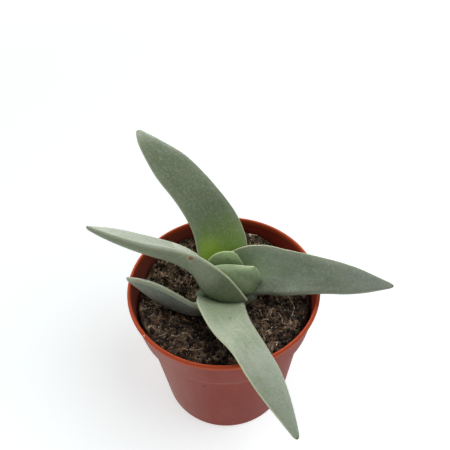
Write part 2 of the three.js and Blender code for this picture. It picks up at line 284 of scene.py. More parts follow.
# Where the base ends, where the middle starts and ends, and where the tip starts
MARGIN_PLACES = (0.18, 0.36, 0.6, 0.95)
# No margin is blunter than this share of the half width and of the thickness
BLUNT_OF_WIDTH = 0.6
BLUNT_OF_THICKNESS = 1 / 2.2

LEAF_RINGS = 150
RING_CROWDING = 1.15
FACE_POINTS = 26
MARGIN_POINTS = 6
TIP_START = 0.982
TIP_RINGS = 10
TIP_LEAST = 0.02
# The share of the thickness on the inner side, and how full the section is
INNER_SHARE = 0.28
LENS_WIDTH = 2.4
LENS_FULLNESS = 0.75
# Height and wavelength of the swells of the skin, and where they fade out
LEAF_SWELLS = [(0.10, 7), (0.035, 2.4)]
CALM_BASE = 6
CALM_TIP = 0.94
# How finely the rows' curves are sampled and over how many samples they are evened out
EVEN_STEPS = 401
EVEN_SPREAD = 13
LEAF_VALUES = ("across_mm", "along_mm", "edge_mm", "inner", "along", "pale")


def along_rows(rows, t):
    """The rows' values at places t, on the cubic curves that the part's solids use."""
    rows = np.array(rows, float)
    span = np.diff(STATIONS)[:, None]
    slope = np.diff(rows, axis=0) / span
    tangent = np.zeros_like(rows)
    tangent[0], tangent[-1] = slope[0], slope[-1]
    tangent[1:-1] = (slope[:-1] * span[1:] + slope[1:] * span[:-1]) / (span[1:] + span[:-1])
    i = np.clip(np.searchsorted(STATIONS, t, side="right") - 1, 0, len(STATIONS) - 2)
    h = span[i]
    s = ((t - STATIONS[i]) / span[i, 0])[:, None]
    return (
        (2 * s**3 - 3 * s**2 + 1) * rows[i]
        + (s**3 - 2 * s**2 + s) * (tangent[i] * h)
        + (-2 * s**3 + 3 * s**2) * rows[i + 1]
        + (s**3 - s**2) * (tangent[i + 1] * h)
    )


def smooth_rows(rows, t):
    """The rows' values and slopes at places t, with the curves' small kinks evened out."""
    even = np.linspace(0, 1, EVEN_STEPS)
    value = along_rows(rows, even)
    reach = 3 * EVEN_SPREAD
    before = 2 * value[0] - value[1:reach + 1][::-1]
    after = 2 * value[-1] - value[-reach - 1:-1][::-1]
    padded = np.concatenate([before, value, after])
    weight = np.exp(-0.5 * (np.arange(-reach, reach + 1) / EVEN_SPREAD) ** 2)
    weight /= weight.sum()
    value = np.stack([np.convolve(column, weight, "valid") for column in padded.T], axis=1)
    rate = np.gradient(value, even, axis=0)
    return tuple(np.stack([np.interp(t, even, c) for c in v.T], axis=1) for v in (value, rate))


def three_places(values, t):
    """A value given at the base, in the middle and near the tip, for every t."""
    base, middle, tip = values
    return np.interp(t, MARGIN_PLACES, [base, middle, middle, tip])


def leaf_places():
    """Places of a leaf's rings along it, and how far the rounded tip has closed at each."""
    body = TIP_START * (1 - (1 - np.linspace(0, 1, LEAF_RINGS)) ** RING_CROWDING)
    tip = TIP_START + (1 - TIP_START) * np.sin(np.linspace(0, math.pi / 2, TIP_RINGS)[1:-1])
    t = np.concatenate([body, tip])
    beyond = ((t - TIP_START) / (1 - TIP_START)).clip(0)
    return t, np.sqrt(np.clip(1 - beyond**2, TIP_LEAST**2, 1))


def across_section(half, left_radius, right_radius):
    """Places across a section, over its inner face and back under it, and the face of each."""
    turn = np.linspace(0, math.pi / 2, MARGIN_POINTS + 1)[1:]
    reach_left, reach_right = half - left_radius, half - right_radius
    flat = np.linspace(-reach_left, reach_right, FACE_POINTS)
    cap_left = -(reach_left + left_radius * np.sin(turn))[::-1]
    cap_right = reach_right + right_radius * np.sin(turn)
    over = np.concatenate([cap_left, flat, cap_right])
    under = over[::-1][1:-1]
    side = np.concatenate([np.ones(len(over)), -np.ones(len(under))])
    return np.concatenate([over, under]), side


def skin_depth(x, side, half, left_radius, right_radius, thick):
    """How far the skin stands off the leaf's middle at places x across a section."""
    reach_left, reach_right = half - left_radius, half - right_radius
    over_left = np.clip((-x - reach_left) / left_radius, 0, 1)
    over_right = np.clip((x - reach_right) / right_radius, 0, 1)
    share = np.clip((x + reach_left) / (reach_left + reach_right), 0, 1)
    radius = left_radius + (right_radius - left_radius) * share
    rim = radius * np.sqrt(np.clip(1 - np.maximum(over_left, over_right) ** 2, 0, 1))
    lens = np.clip(1 - np.abs(x / half) ** LENS_WIDTH, 0, 1) ** LENS_FULLNESS
    body = max(0, thick - left_radius - right_radius) * lens
    return np.where(side > 0, rim + INNER_SHARE * body, -rim - (1 - INNER_SHARE) * body)


def leaf_points(name, rows, seed):
    """A closed leaf: rings of points from base to tip with rounded margins and tip."""
    t, closing = leaf_places()
    value, rate = smooth_rows(rows, t)
    left, right = value[:, 0:3], value[:, 3:6]
    gutter, thick = value[:, 6] * closing, value[:, 7] * closing
    chord = right - left
    half = np.linalg.norm(chord, axis=1) / 2 * closing
    middle = (left + right) / 2
    across = unit(chord)
    inward = unit(np.cross(across, unit((rate[:, 0:3] + rate[:, 3:6]) / 2)))
    bluntest = np.minimum(BLUNT_OF_WIDTH * half, BLUNT_OF_THICKNESS * thick)
    blunt_left, blunt_right = (
        np.minimum(three_places(b, t), bluntest) for b in BLUNT.get(name, (SHARP, SHARP))
    )
    pale_left, pale_right = (three_places(p, t) for p in PALE[name])
    step = np.linalg.norm(np.diff(middle, axis=0), axis=1)
    travelled = np.concatenate([[0], np.cumsum(step)])
    rings = []
    values = {key: [] for key in LEAF_VALUES}
    for i in range(len(t)):
        x, side = across_section(half[i], blunt_left[i], blunt_right[i])
        depth = skin_depth(x, side, half[i], blunt_left[i], blunt_right[i], thick[i])
        u = x / half[i]
        centre = middle[i] + np.outer(x, across[i]) - np.outer(gutter[i] * (1 - u**2), inward[i])
        normal = unit(inward[i] - np.outer(2 * gutter[i] * u / half[i], across[i]))
        rings.append(centre + normal * depth[:, None])
        pale = np.where(x < 0, pale_left[i], pale_right[i])
        here = (x, travelled[i], half[i] - np.abs(x), (side + 1) / 2, t[i], pale)
        for key, data in zip(LEAF_VALUES, here):
            values[key].append(np.broadcast_to(data, len(x)))
    points = np.concatenate(rings)
    values = {key: np.concatenate(data) for key, data in values.items()}
    out = unit(points - np.repeat([r.mean(0) for r in rings], len(rings[0]), axis=0))
    swell = sum(
        size * smooth_noise(points, wavelength, seed + i)
        for i, (size, wavelength) in enumerate(LEAF_SWELLS)
    )
    calm = smoothstep(0, CALM_BASE, values["along_mm"]) * smoothstep(1, CALM_TIP, values["along"])
    points = points + out * (swell * calm)[:, None]
    return points, tube_faces(len(rings), len(rings[0])), values


# A fold's flat side faces that way. It narrows to its end and bends by a share of its
# thickness, and its skin swells by a share of it over that wavelength.
FOLD_FACING = (0.0, -0.7, 0.7)
FOLD_TAPER = 0.3
FOLD_BEND = 0.35
FOLD_SWELL = 0.1
FOLD_WAVELENGTH = 1.6


def leaf_fold(name, start, end, width, thick, seed):
    """A small blunt fold of leaf, a tapered and gently bent oval."""
    base, faces = icosphere(4)
    start, end = np.array(start, float), np.array(end, float)
    half = np.linalg.norm(end - start) / 2
    axis = unit(end - start)
    normal = unit(np.array(FOLD_FACING) - np.dot(FOLD_FACING, axis) * axis)
    side = np.cross(normal, axis)
    u, v, w = base.T
    taper = 1 - FOLD_TAPER * u
    lift = w * thick * taper + FOLD_BEND * thick * (1 - u**2)
    points = (
        (start + end) / 2
        + np.outer(u * half, axis)
        + np.outer(v * width * taper, side)
        + np.outer(lift, normal)
    )
    swell = FOLD_SWELL * thick * smooth_noise(points, FOLD_WAVELENGTH, seed)
    edge = 0.25 + width * (1 - np.abs(v))
    inner = (w > -0.2).astype(float)
    data = (v * width, u * half, edge, inner, np.full(len(u), 0.4), np.full(len(u), 0.6))
    points = points + base * swell[:, None]
    return make_mesh(name, points, faces, dict(zip(LEAF_VALUES, data)))


# Soil and stem. The soil's level, swells and sides are those of the solid.

SOIL_LEVEL = 69.2
SOIL_RADIUS = 40.9
SOIL_SIDE = [(40, 59.3), (39.3, 58.5), (37.2, 57.4), (36.85, 55.8), (30.5, 2.9), (29.6, 1.9)]
SOIL_MIDDLE = 0.3
SOIL_RINGS = 100
SOIL_SIDES = 430
SOIL_SEED = 11
DRAW_FACTOR = 1664525
DRAW_STEP = 1013904223
DRAW_RANGE = 2**32
# Length and height of each swell of the soil's top
SWELL_SIZES = [(34, 0.45)] * 4 + [(9, 0.22)] * 10
# The rise toward the back: its height, its middle, and how fast it falls off each way
RISE, RISE_X, RISE_Y, RISE_WIDE, RISE_DEEP = 3.6, -3, 43, 650, 110
# The dip round the stem
DIP, DIP_WIDE = 1.2, 160
# The slope down to the wall, which fades out from the middle of the pot to the back
SLOPE, SLOPE_START, SLOPE_WIDE = 1.6, 38.4, 2.4
SLOPE_ENDS, SLOPE_FADE = 28, 20
# Wavelength, seed and height of the lumps in the peat, and whether they are ridges
LUMPS = [
    (5.5, 31, 0.7, False), (2.3, 32, 0.45, True),
    (1.1, 33, 0.35, False), (0.55, 34, 0.2, False),
]
LUMP_FADE = 1.2
LUMP_LEAST = 0.25
TONE_MIDDLE = 0.5
TONE_OF_RISE = 0.35

STEM_X, STEM_Y = 0, -0.5
STEM_PROFILE = [(4.2, 52), (5, 66), (6, 71), (6, 75), (5, 77), (3.2, 80.5), (1.6, 82)]
STEM_STEP = 0.45
STEM_SIDES = 56
STEM_INSET = 0.1
STEM_SCARS = (70.4, 73.2, 75.6)
SCAR_DEPTH, SCAR_WIDTH = 0.22, 0.35
# Height, wavelength and seed of the stem's roughness, which fades out up to the top
STEM_ROUGH = [(0.16, 2.2, 51), (0.06, 0.8, 52)]
STEM_CALM = (82, 80)


def soil_swells():
    """The broad swells of the soil's top, drawn from one seed."""
    state = SOIL_SEED
    swells = []

    def draw():
        nonlocal state
        state = (state * DRAW_FACTOR + DRAW_STEP) % DRAW_RANGE
        return state / DRAW_RANGE

    for length, size in SWELL_SIZES:
        angle = draw() * math.pi
        phase = draw() * 2 * math.pi
        k = FULL_TURN / length
        swells.append((k * math.cos(angle), k * math.sin(angle), phase, size))
    return swells


SWELLS = soil_swells()


def soil_height(x, y):
    """Height of the soil's top, without its crumbs."""
    x, y = np.asarray(x, float), np.asarray(y, float)
    z = np.full(x.shape, float(SOIL_LEVEL))
    for kx, ky, phase, size in SWELLS:
        z = z + size * np.sin(kx * x + ky * y + phase)
    r = np.hypot(x, y)
    away = np.clip((SLOPE_ENDS - y) / SLOPE_FADE, 0, 1)
    z = z + RISE * np.exp(-((y - RISE_Y) ** 2) / RISE_DEEP - (x - RISE_X) ** 2 / RISE_WIDE)
    z = z - DIP * np.exp(-(x**2 + y**2) / DIP_WIDE)
    return z - SLOPE * away * np.clip((r - SLOPE_START) / SLOPE_WIDE, 0, None) ** 2


def lumps(x, y):
    """Peat lumps of several sizes, never far below the smooth top."""
    p = np.stack([x, y, np.zeros_like(x)], axis=1)
    total = 0
    for wavelength, seed, height, ridged in LUMPS:
        wave = smooth_noise(p, wavelength, seed)
        total = total + height * (1 - np.abs(wave) * 2 if ridged else wave)
    return total


def soil_surface(x, y):
    """Height of the soil's top with its lumps, and how high the lumps stand there."""
    x, y = np.atleast_1d(x).astype(float), np.atleast_1d(y).astype(float)
    fade = smoothstep(SOIL_RADIUS, SOIL_RADIUS - LUMP_FADE, np.hypot(x, y))
    rise = lumps(x, y) * (LUMP_LEAST + (1 - LUMP_LEAST) * fade)
    return soil_height(x, y) + rise, rise


def build_soil():
    """The soil's lumpy top and plain sides. The rings run down, so the faces are turned over."""
    radii = np.linspace(SOIL_MIDDLE, SOIL_RADIUS, SOIL_RINGS)
    top = np.concatenate([ring(radius, 0, SOIL_SIDES) for radius in radii])
    top[:, 2], rise = soil_surface(top[:, 0], top[:, 1])
    sides = [ring(radius, height, SOIL_SIDES) for radius, height in SOIL_SIDE]
    points = np.concatenate([top] + sides)
    tone = np.zeros(len(points))
    tone[: len(rise)] = clamp01(TONE_MIDDLE + TONE_OF_RISE * rise)
    faces = [f[::-1] for f in tube_faces(SOIL_RINGS + len(SOIL_SIDE), SOIL_SIDES)]
    return make_mesh("soil_bed", points, faces, {"tone": tone})


def build_stem():
    """The short stem, with low scars where old leaves sat, a little rough."""
    rows = stretch_rows(STEM_PROFILE, STEM_STEP)
    points = []
    for radius, z in rows:
        scar = sum(math.exp(-(((z - s) / SCAR_WIDTH) ** 2)) for s in STEM_SCARS)
        smooth = ring(radius, z, STEM_SIDES)
        rough = sum(size * smooth_noise(smooth, length, seed) for size, length, seed in STEM_ROUGH)
        wide = radius - STEM_INSET + (rough - SCAR_DEPTH * scar) * smoothstep(*STEM_CALM, z)
        points.append(ring(wide, z, STEM_SIDES, (STEM_X, STEM_Y)))
    return make_mesh("stem_bark", np.concatenate(points), tube_faces(len(rows), STEM_SIDES))


# Loose bits on the soil

class Heap:
    """Many small loose bits gathered into one mesh, each with its own tone."""

    def __init__(self):
        self.points, self.faces, self.tones, self.count = [], [], [], 0

    def add(self, points, faces, tone):
        self.points.append(points)
        self.faces += [tuple(int(k) + self.count for k in f) for f in faces]
        self.tones.append(np.full(len(points), tone))
        self.count += len(points)

    def build(self, name):
        tones = {"tone": np.concatenate(self.tones)}
        return make_mesh(name, np.concatenate(self.points), self.faces, tones)


# How far every bit stays off the leaves, and off the middle of the stem
LEAF_ROOM = 0.5
STEM_ROOM = 6.3


def clear_of(tree, point, room):
    """Whether no leaf point lies within that distance, in millimetres."""
    return tree.find(Vector(point))[2] > room


def near_stem(x, y, room):
    return np.hypot(x - STEM_X, y - STEM_Y).min() < room


def is_free(tree, place, size, stem_room):
    """Whether a bit of that size at place stands clear of the stem and the leaves."""
    near = near_stem(place[0], place[1], STEM_ROOM + stem_room)
    return not near and clear_of(tree, place, size + LEAF_ROOM)


def skewed(rng, least, spread, power):
    """A random size from least up, mostly small when power is high."""
    return least + spread * rng.random() ** power


def drawn_tone(rng, middle, spread):
    return clamp01(middle + spread * rng.normal())


def on_soil(rng, reach):
    """A random place within reach of the pot's axis."""
    r = reach * math.sqrt(rng.random())
    angle = rng.random() * FULL_TURN
    return r * math.cos(angle), r * math.sin(angle)


def top_at(x, y):
    return soil_surface(x, y)[0][0]


def random_turn(rng):
    """A random turn, as a matrix."""
    return np.array(Quaternion(rng.normal(size=4)).normalized().to_matrix())


CRUMB_TRIES, CRUMB_SEED = 3300, 5
LARGE_CRUMB = 0.45
PALE_CRUMBS = 0.05
SMALL_BALL = icosphere(0)
LARGE_BALL = icosphere(1)
BALL_POINTS = len(LARGE_BALL[0])


def scatter(drop, tries, tree, seed):
    """A heap of loose bits. Each try draws one bit and drops it where there is room."""
    heap, rng = Heap(), np.random.default_rng(seed)
    for _ in range(tries):
        drop(heap, tree, rng)
    return heap


def drop_crumb(heap, tree, rng):
    """A peat crumb. Many are small and few large."""
    radius = skewed(rng, 0.28, 0.85, 3.2)
    x, y = on_soil(rng, SOIL_RADIUS - 0.6)
    flat = 0.55 + 0.4 * rng.random()
    turn = random_turn(rng)
    stretch = np.array([1.0, 0.65 + 0.5 * rng.random(), flat])
    wobble = rng.random(BALL_POINTS)
    tone = drawn_tone(rng, 0.36, 0.22)
    if rng.random() < PALE_CRUMBS:
        tone = 0.72 + 0.15 * rng.random()
    place = x, y, top_at(x, y) + radius * (0.05 + 0.5 * rng.random())
    at_wall = math.hypot(x, y) + radius > SOIL_RADIUS - 0.2
    if at_wall or not is_free(tree, place, radius, radius):
        return
    base, faces = LARGE_BALL if radius > LARGE_CRUMB else SMALL_BALL
    shape = base * (0.72 + 0.5 * wobble[: len(base), None])
    heap.add((shape * stretch) @ turn.T * radius + place, faces, tone)


# Any direction that no fibre has, and a fibre's width at its ends as a share
FIBRE_SIDE = (0.13, 0.21, 0.97)
FIBRE_END = 0.35
FIBRE_TRIES, FIBRE_SEED = 1700, 6
FIBRE_STEPS = 7
FIBRE_LIFT = 0.12
FIBRE_WANDER = 0.25


def fibre(path, radius, sides=5):
    """A thin closed tube along a path, tapering at both ends."""
    path = np.asarray(path, float)
    direction = unit(np.gradient(path, axis=0))
    side = unit(np.cross(direction, FIBRE_SIDE))
    over = np.cross(side, direction)
    angle = np.linspace(0, FULL_TURN, sides, endpoint=False)
    share = np.linspace(0, 1, len(path))
    width = radius * (FIBRE_END + (1 - FIBRE_END) * np.sin(math.pi * share) ** 0.5)
    points = []
    for p, s, o, w in zip(path, side, over, width):
        points.append(p + w * (np.outer(np.cos(angle), s) + np.outer(np.sin(angle), o)))
    return np.concatenate(points), [f[::-1] for f in tube_faces(len(path), sides)]


def lying_path(rng, x, y, heading, length, bend, lift):
    """A path that follows the soil from x, y, bending as it goes."""
    path = []
    for k in range(FIBRE_STEPS):
        share = k / (FIBRE_STEPS - 1)
        path.append((x, y, top_at(x, y) + FIBRE_LIFT + lift * math.sin(math.pi * share)))
        heading += bend / FIBRE_STEPS + FIBRE_WANDER * (rng.random() - 0.5)
        x += math.cos(heading) * length / FIBRE_STEPS
        y += math.sin(heading) * length / FIBRE_STEPS
    return np.array(path)


def drop_fibre(heap, tree, rng):
    """A short fibre that lies over the crumbs."""
    x, y = on_soil(rng, SOIL_RADIUS - 2)
    length = skewed(rng, 1.2, 5.5, 2.5)
    radius = skewed(rng, 0.05, 0.09, 1.6)
    heading = rng.random() * FULL_TURN
    bend = 2.2 * (rng.random() - 0.5)
    lift = skewed(rng, 0.1, 0.9, 2.5)
    tone = drawn_tone(rng, 0.58, 0.17)
    path = lying_path(rng, x, y, heading, length, bend, lift)
    xs, ys = path[:, 0], path[:, 1]
    if np.hypot(xs, ys).max() > SOIL_RADIUS - 0.5 or near_stem(xs, ys, STEM_ROOM + 0.1):
        return
    if all(clear_of(tree, p, radius + LEAF_ROOM) for p in path):
        heap.add(*fibre(path, radius), tone)


# Single strands that lie where the photograph shows them: places, radius, tone
LONG_STRANDS = [
    ([(17.1, -15.6), (19.1, -14.5), (21.2, -16.3), (21.9, -19.1), (20.4, -21.8), (18.1, -22.2)],
     0.2, 0.95),
    ([(16.6, -16.6), (18.4, -16), (20, -17.4), (20.4, -19.6)], 0.14, 0.75),
    ([(18, -23.8), (19.6, -26.6), (20.7, -29.2)], 0.26, 0.5),
    ([(17, -24.6), (18.4, -27.4), (19.2, -30)], 0.22, 0.42),
    ([(19.2, -23), (21.2, -25.6), (22.4, -28.4)], 0.2, 0.6),
    ([(12, 37.4), (14, 38), (16, 36.8), (18, 36)], 0.18, 1),
    ([(11.4, 36.2), (13.6, 36.4), (15.6, 35.2)], 0.14, 0.9),
    ([(24, -10), (26.6, -14.6), (26, -19)], 0.16, 0.85),
    ([(-33, 9), (-28.6, 11.6), (-24.4, 9.6)], 0.14, 0.85),
    ([(-27, -20), (-22, -23.4), (-17.4, -21.6), (-14, -25)], 0.14, 0.8),
    ([(-20, -29), (-15, -31.6), (-9, -30.4)], 0.16, 0.9),
    ([(30, -2), (33, -8), (31, -13.6)], 0.15, 0.85),
]
# Bits of fibre caught on the rim
RIM_STRANDS = [
    ([(39.9, 18, 78), (41, 17, 78.1), (42, 15.6, 78.15), (42.9, 14.6, 78.05), (43.3, 13.2, 77.95)],
     0.17, 0.2),
    ([(40.6, 16.4, 78.05), (41.8, 16.6, 78.2), (42.6, 15.8, 78.1), (43.4, 14.4, 77.9)], 0.13, 0.75),
    ([(41.6, 14.4, 78.05), (42.2, 15.2, 78.2), (42.4, 16.2, 78)], 0.12, 0.4),
]
STRAND_STEPS = 14
STRAND_LIFT = 0.3
STRAND_SIDES = 7


def lay_strands(heap):
    """The long strands, each on a smooth curve through its places, just above the crumbs."""
    for places, radius, tone in LONG_STRANDS:
        places = np.array(places)
        share = np.linspace(0, len(places) - 1, STRAND_STEPS)
        x, y = (np.interp(share, np.arange(len(places)), line) for line in places.T)
        for line in (x, y):
            line[1:-1] = (line[:-2] + 2 * line[1:-1] + line[2:]) / 4
        z = soil_surface(x, y)[0] + STRAND_LIFT
        z[1:-1] = np.maximum(z[1:-1], (z[:-2] + z[2:]) / 2)
        heap.add(*fibre(np.stack([x, y, z], axis=1), radius, STRAND_SIDES), tone)
    for path, radius, tone in RIM_STRANDS:
        heap.add(*fibre(path, radius, STRAND_SIDES), tone)


BARK_TRIES, BARK_SEED = 120, 7
BARK_THICKNESS = 0.22
GRAIN_TRIES, GRAIN_SEED = 130, 8


def drop_bark(heap, tree, rng):
    """A flat flake of bark or wood, orange brown or sometimes pale."""
    length = skewed(rng, 0.7, 1.3, 1.5)
    x, y = on_soil(rng, SOIL_RADIUS - 3)
    tilt = 0.5 * (rng.random() - 0.5)
    heading = rng.random() * FULL_TURN
    wobble = rng.random(BALL_POINTS)
    tone = drawn_tone(rng, 0.5, 0.25)
    place = x, y, top_at(x, y) + 0.25
    if not is_free(tree, place, length, 0.5 + length):
        return
    width = length * (0.25 + 0.25 * rng.random())
    base, faces = LARGE_BALL
    shape = base * (0.75 + 0.4 * wobble[:, None]) * (length, width, BARK_THICKNESS)
    lean = np.array(Matrix.Rotation(tilt, 3, "Y"))
    spin = np.array(Matrix.Rotation(heading, 3, "Z"))
    heap.add(shape @ lean.T @ spin.T + place, faces, tone)


def drop_grain(heap, tree, rng):
    """A small white or pale grain."""
    radius = skewed(rng, 0.16, 0.26, 2)
    x, y = on_soil(rng, SOIL_RADIUS - 1.5)
    wobble = rng.random(BALL_POINTS)
    tone = drawn_tone(rng, 0.55, 0.3)
    place = x, y, top_at(x, y) + radius * 0.6
    if is_free(tree, place, radius, 0.3):
        base, faces = LARGE_BALL
        heap.add(base * (0.75 + 0.4 * wobble[:, None]) * radius + place, faces, tone)


# Pot. The profile runs from the foot up the outside, over the lip and down the inside.
# Its values are those of the solid, with a softer shoulder under the collar.

POT_PROFILE = [
    (30, 0), (31.4, 0.5), (32, 1.8),
    (38.15, 52.8), (38.5, 54.3), (39, 55.5), (39.7, 56.7), (40.5, 57.8), (41.2, 58.9), (41.7, 60.2),
    (44.2, 75.5), (45, 76.1), (45, 77.2), (44.55, 77.85), (44, 78), (43.5, 77.8), (43.2, 77.1),
    (43.1, 75.2), (40.5, 58.8), (39.7, 58), (37.6, 56.9), (37.3, 55.8), (30.9, 2.6), (29.9, 1.6),
]
INNER_FLOOR = [(20, 1.6), (8, 1.6), (0.4, 1.6)]
OUTER_FLOOR = [(0.4, 0), (8, 0), (20, 0)]
POT_SIDES = 192
CORNER_RADIUS = 0.9
CORNER_STEPS = 7
# A rounded corner takes no more than this share of the steps beside it
CORNER_SHARE = 0.42
POT_STEP = 4

DRAIN_HOLES = 6
DRAIN_RADIUS = 3
DRAIN_RING_RADIUS = 20
DRAIN_SIDES = 32
DRAIN_HEIGHTS = (-2, 4)
# Points nearer than this, in metres, are one after the holes are cut
MERGE = 0.000002


def rounded_profile(profile):
    """Rounds every corner of an open profile with a small arc-like curve."""
    p = np.array(profile, float)
    result = [p[0]]
    for a, b, c in zip(p[:-2], p[1:-1], p[2:]):
        back = min(CORNER_RADIUS, np.linalg.norm(a - b) * CORNER_SHARE)
        ahead = min(CORNER_RADIUS, np.linalg.norm(c - b) * CORNER_SHARE)
        start = b + (a - b) / np.linalg.norm(a - b) * back
        end = b + (c - b) / np.linalg.norm(c - b) * ahead
        for s in np.linspace(0, 1, CORNER_STEPS):
            result.append((1 - s) ** 2 * start + 2 * s * (1 - s) * b + s**2 * end)
    result.append(p[-1])
    return result


def cut_drains(pot):
    """Cuts the drainage holes through the pot's floor."""
    points, faces = [], []
    for i in range(DRAIN_HOLES):
        turn = (i + 0.5) / DRAIN_HOLES * FULL_TURN
        centre = DRAIN_RING_RADIUS * math.cos(turn), DRAIN_RING_RADIUS * math.sin(turn)
        points += [ring(DRAIN_RADIUS, z, DRAIN_SIDES, centre) for z in DRAIN_HEIGHTS]
        faces += tube_faces(2, DRAIN_SIDES, i * 2 * DRAIN_SIDES)
    cutter = make_mesh("drain_cutter", np.concatenate(points), faces, smooth=False)
    cut = pot.modifiers.new("drains", "BOOLEAN")
    cut.operation = "DIFFERENCE"
    cut.solver = "EXACT"
    cut.object = cutter
    graph = bpy.context.evaluated_depsgraph_get()
    mesh = bpy.data.meshes.new_from_object(pot.evaluated_get(graph))
    pot.modifiers.clear()
    pot.data = mesh
    clean = bmesh.new()
    clean.from_mesh(mesh)
    bmesh.ops.remove_doubles(clean, verts=clean.verts, dist=MERGE)
    bmesh.ops.dissolve_degenerate(clean, dist=MERGE, edges=clean.edges)
    bmesh.ops.triangulate(clean, faces=[f for f in clean.faces if len(f.verts) > 4])
    bmesh.ops.dissolve_degenerate(clean, dist=MERGE, edges=clean.edges)
    clean.to_mesh(mesh)
    clean.free()
    bpy.data.objects.remove(cutter)


def build_pot():
    """The turned pot with its drainage holes."""
    wall = stretch_rows(rounded_profile(POT_PROFILE), POT_STEP)
    outline = OUTER_FLOOR + [tuple(p) for p in wall] + INNER_FLOOR
    points = np.concatenate([ring(radius, height, POT_SIDES) for radius, height in outline])
    pot = make_mesh("pot_shell", points, tube_faces(len(outline), POT_SIDES))
    cut_drains(pot)
    return pot


# Materials

class Graph:
    """A node tree, filled in reading order, and the colour that it has built up."""

    def __init__(self, owner):
        owner.use_nodes = True
        self.owner, self.tree, self.colour = owner, owner.node_tree, None
        self.tree.nodes.clear()

    def put(self, socket, value):
        """Links a socket to another one, or gives it a value."""
        if isinstance(value, bpy.types.NodeSocket):
            self.tree.links.new(value, socket)
        else:
            socket.default_value = (*value, 1) if socket.type == "RGBA" else value

    def node(self, kind, inputs=(), **settings):
        """A new node's outputs. Its inputs are given in order, or by name or number."""
        n = self.tree.nodes.new("ShaderNode" + kind)
        for key, value in settings.items():
            setattr(n, key, value)
        for key, value in inputs.items() if isinstance(inputs, dict) else enumerate(inputs):
            self.put(n.inputs[key], value)
        return n.outputs

    def attribute(self, name):
        return self.node("Attribute", attribute_name=name)["Fac"]

    def place(self):
        """The point on the object, in metres."""
        return self.node("TexCoord")["Object"]

    def split(self, vector):
        return tuple(self.node("SeparateXYZ", [vector]))

    def join(self, x, y, z):
        return self.node("CombineXYZ", (x, y, z))[0]

    def math(self, operation, *values):
        return self.node("Math", values, operation=operation)[0]

    def times(self, a, b):
        return self.math("MULTIPLY", a, b)

    def plus(self, a, b):
        return self.math("ADD", a, b)

    def off_axis(self):
        """Distance from the object's upright axis, in metres."""
        x, y, _ = self.split(self.place())
        return self.math("SQRT", self.plus(self.times(x, x), self.times(y, y)))

    def ramp(self, value, low, high, to_low=0.0, to_high=1.0):
        """A smooth step of value from low to high."""
        inputs = (value, low, high, to_low, to_high)
        return self.node("MapRange", inputs, interpolation_type="SMOOTHSTEP")[0]

    def noise(self, scale, vector=None, detail=3.0, rough=0.55, distort=0.0):
        where = self.place() if vector is None else vector
        inputs = {"Vector": where, "Scale": scale, "Detail": detail, "Roughness": rough}
        return self.node("TexNoise", inputs | {"Distortion": distort})["Fac"]

    def cells(self, scale):
        """Distance to the nearest of many scattered points."""
        return self.node("TexVoronoi", {"Vector": self.place(), "Scale": scale})["Distance"]

    def mix(self, factor, a, b):
        return self.node("Mix", {0: factor, 6: a, 7: b}, data_type="RGBA", clamp_factor=True)[2]

    def cover(self, shade, where, strength=1.0):
        """Lays a shade over the colour, at most that strong."""
        self.colour = self.mix(self.times(where, strength), self.colour, shade)

    def spot(self, centre, inner, outer):
        """One inside a ball round centre, fading to nothing at outer, in millimetres."""
        centre = tuple(c * MM for c in centre)
        away = self.node("VectorMath", (self.place(), centre), operation="DISTANCE")["Value"]
        return self.ramp(away, outer * MM, inner * MM)

    def bump(self, height, distance, strength):
        inputs = {"Strength": strength, "Distance": distance, "Height": height}
        return self.node("Bump", inputs)["Normal"]

    def finish(self, roughness, inputs):
        """Gives the colour and the other inputs to the surface's shader."""
        inputs = {"Base Color": self.colour, "Roughness": roughness} | inputs
        self.node("OutputMaterial", [self.node("BsdfPrincipled", inputs)[0]])
        return self.owner


def rgb(r, g, b):
    """A colour given in 8-bit sRGB, as linear values."""
    result = []
    for c in (r, g, b):
        c /= 255
        result.append(c / 12.92 if c <= 0.04045 else ((c + 0.055) / 1.055) ** 2.4)
    return tuple(result)


# Slot, and the colours of the inner face, its darker clouds, its bloom, the outer side,
# the margin and the young base. The last three are the small folds.
LEAF_LOOKS = {
    "leaf_back": (
        "leaf_olive", (104, 120, 89), (94, 109, 78), (124, 135, 117),
        # Its young base colour is its own yellow green, brightened by a painted glow of light
        # through the leaf
        (118, 131, 103), (176, 186, 152), (166, 206, 84),
    ),
    "leaf_front": (
        "leaf_pale", (158, 167, 145), (137, 152, 122), (176, 182, 173),
        (140, 152, 125), (198, 206, 172), (156, 174, 133),
    ),
    "leaf_right": (
        "leaf_grey", (121, 134, 112), (106, 121, 99), (136, 144, 135),
        (123, 135, 117), (188, 192, 158), (132, 150, 112),
    ),
    "leaf_left": (
        "leaf_pale", (148, 153, 138), (141, 151, 128), (157, 161, 151),
        (141, 151, 124), (190, 199, 163), (124, 138, 102),
    ),
    "leaf_low_left": (
        "leaf_grey", (184, 192, 166), (162, 172, 146), (178, 184, 176),
        (106, 113, 104), (186, 194, 161), (126, 140, 112),
    ),
    "leaf_young_front": (
        "leaf_young", (143, 164, 124), (117, 137, 99), (162, 174, 150),
        (141, 162, 120), (169, 182, 139), (125, 144, 105),
    ),
    "leaf_young_back": (
        "leaf_young", (197, 224, 167), (162, 192, 134), (202, 219, 189),
        (153, 181, 123), (166, 183, 133), (155, 188, 118),
    ),
    # The heart fold's colours are darkened to a painted shade, deep in the heart
    "leaf_heart_fold": (
        "leaf_young", (82, 90, 78), (68, 78, 62), (90, 96, 88),
        (74, 82, 70), (104, 112, 92), (74, 86, 66),
    ),
    "leaf_front_fold": (
        "leaf_pale", (142, 156, 126), (122, 138, 104), (150, 160, 138),
        (128, 140, 110), (198, 206, 172), (138, 152, 116),
    ),
    "leaf_base_scale": (
        "leaf_pale", (176, 180, 168), (150, 156, 140), (184, 188, 178),
        (160, 164, 150), (204, 206, 190), (170, 174, 158),
    ),
}

